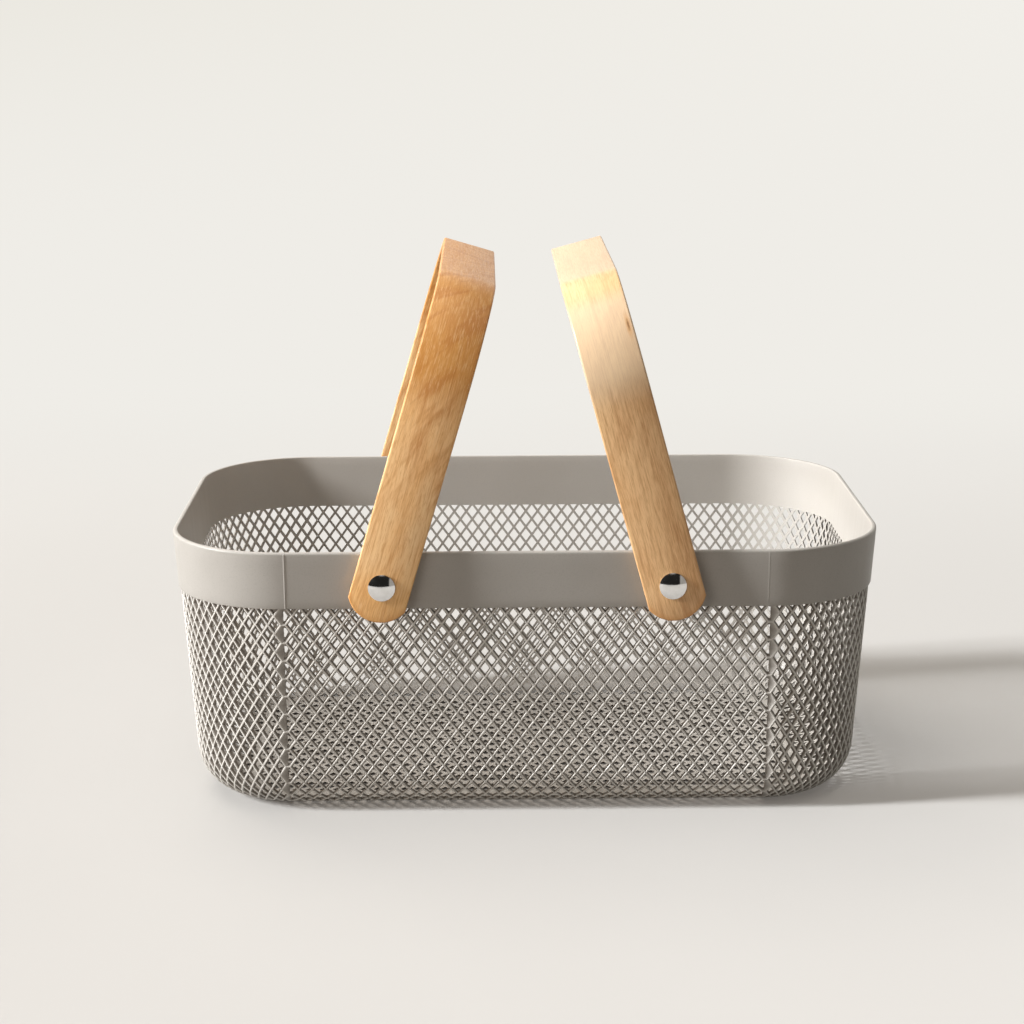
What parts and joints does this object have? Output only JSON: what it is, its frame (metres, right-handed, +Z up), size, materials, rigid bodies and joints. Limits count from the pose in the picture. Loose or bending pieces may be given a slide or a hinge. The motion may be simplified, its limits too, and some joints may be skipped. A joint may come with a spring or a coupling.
{
  "type": "mesh storage basket",
  "caption": "Open-top storage basket of moulded diamond mesh with a smooth rim band and bent-wood bow handles that swing on domed pivots.",
  "frame": {"origin": "middle of the base, on the surface that the basket stands on", "axes": "+X along the long side to the right as seen from the front wall, +Y from the front wall to the back wall, +Z up"},
  "size_m": [0.3798, 0.2636, 0.2869],
  "materials": {
    "basket_plastic": "satin moulded grey",
    "bent_wood": "clear lacquer",
    "cap_chrome": "polished",
    "spacer_nylon": "natural",
    "screw_steel": "zinc plated"
  },
  "bodies": {
    "basket": {"band_front": "basket_plastic", "band_back": "basket_plastic", "band_left": "basket_plastic", "band_right": "basket_plastic", "wall_front": "basket_plastic", "wall_back": "basket_plastic", "wall_left": "basket_plastic", "wall_right": "basket_plastic", "corner_front_left": "basket_plastic", "corner_front_right": "basket_plastic", "corner_back_left": "basket_plastic", "corner_back_right": "basket_plastic", "base_panel": "basket_plastic", "post_front_left": "cap_chrome", "post_front_right": "cap_chrome", "post_back_left": "cap_chrome", "post_back_right": "cap_chrome", "spacer_front_left": "spacer_nylon", "spacer_front_right": "spacer_nylon", "spacer_back_left": "spacer_nylon", "spacer_back_right": "spacer_nylon", "washer_front_left": "screw_steel", "washer_front_right": "screw_steel", "washer_back_left": "screw_steel", "washer_back_right": "screw_steel", "screw_front_left": "screw_steel", "screw_front_right": "screw_steel", "screw_back_left": "screw_steel", "screw_back_right": "screw_steel"},
    "left_bow": {"handle_left": "bent_wood"},
    "right_bow": {"handle_right": "bent_wood"}
  },
  "joints": [
    {"name": "left_bow_swing", "type": "hinge", "parent": "basket", "child": "left_bow", "pos_m": [-0.075, 0, 0.1285], "axis": [0, 1, 0], "range_deg": [-153, 5.5]},
    {"name": "right_bow_swing", "type": "hinge", "parent": "basket", "child": "right_bow", "pos_m": [0.075, 0, 0.1285], "axis": [0, 1, 0], "range_deg": [-6.7, 151.8]}
  ]
}
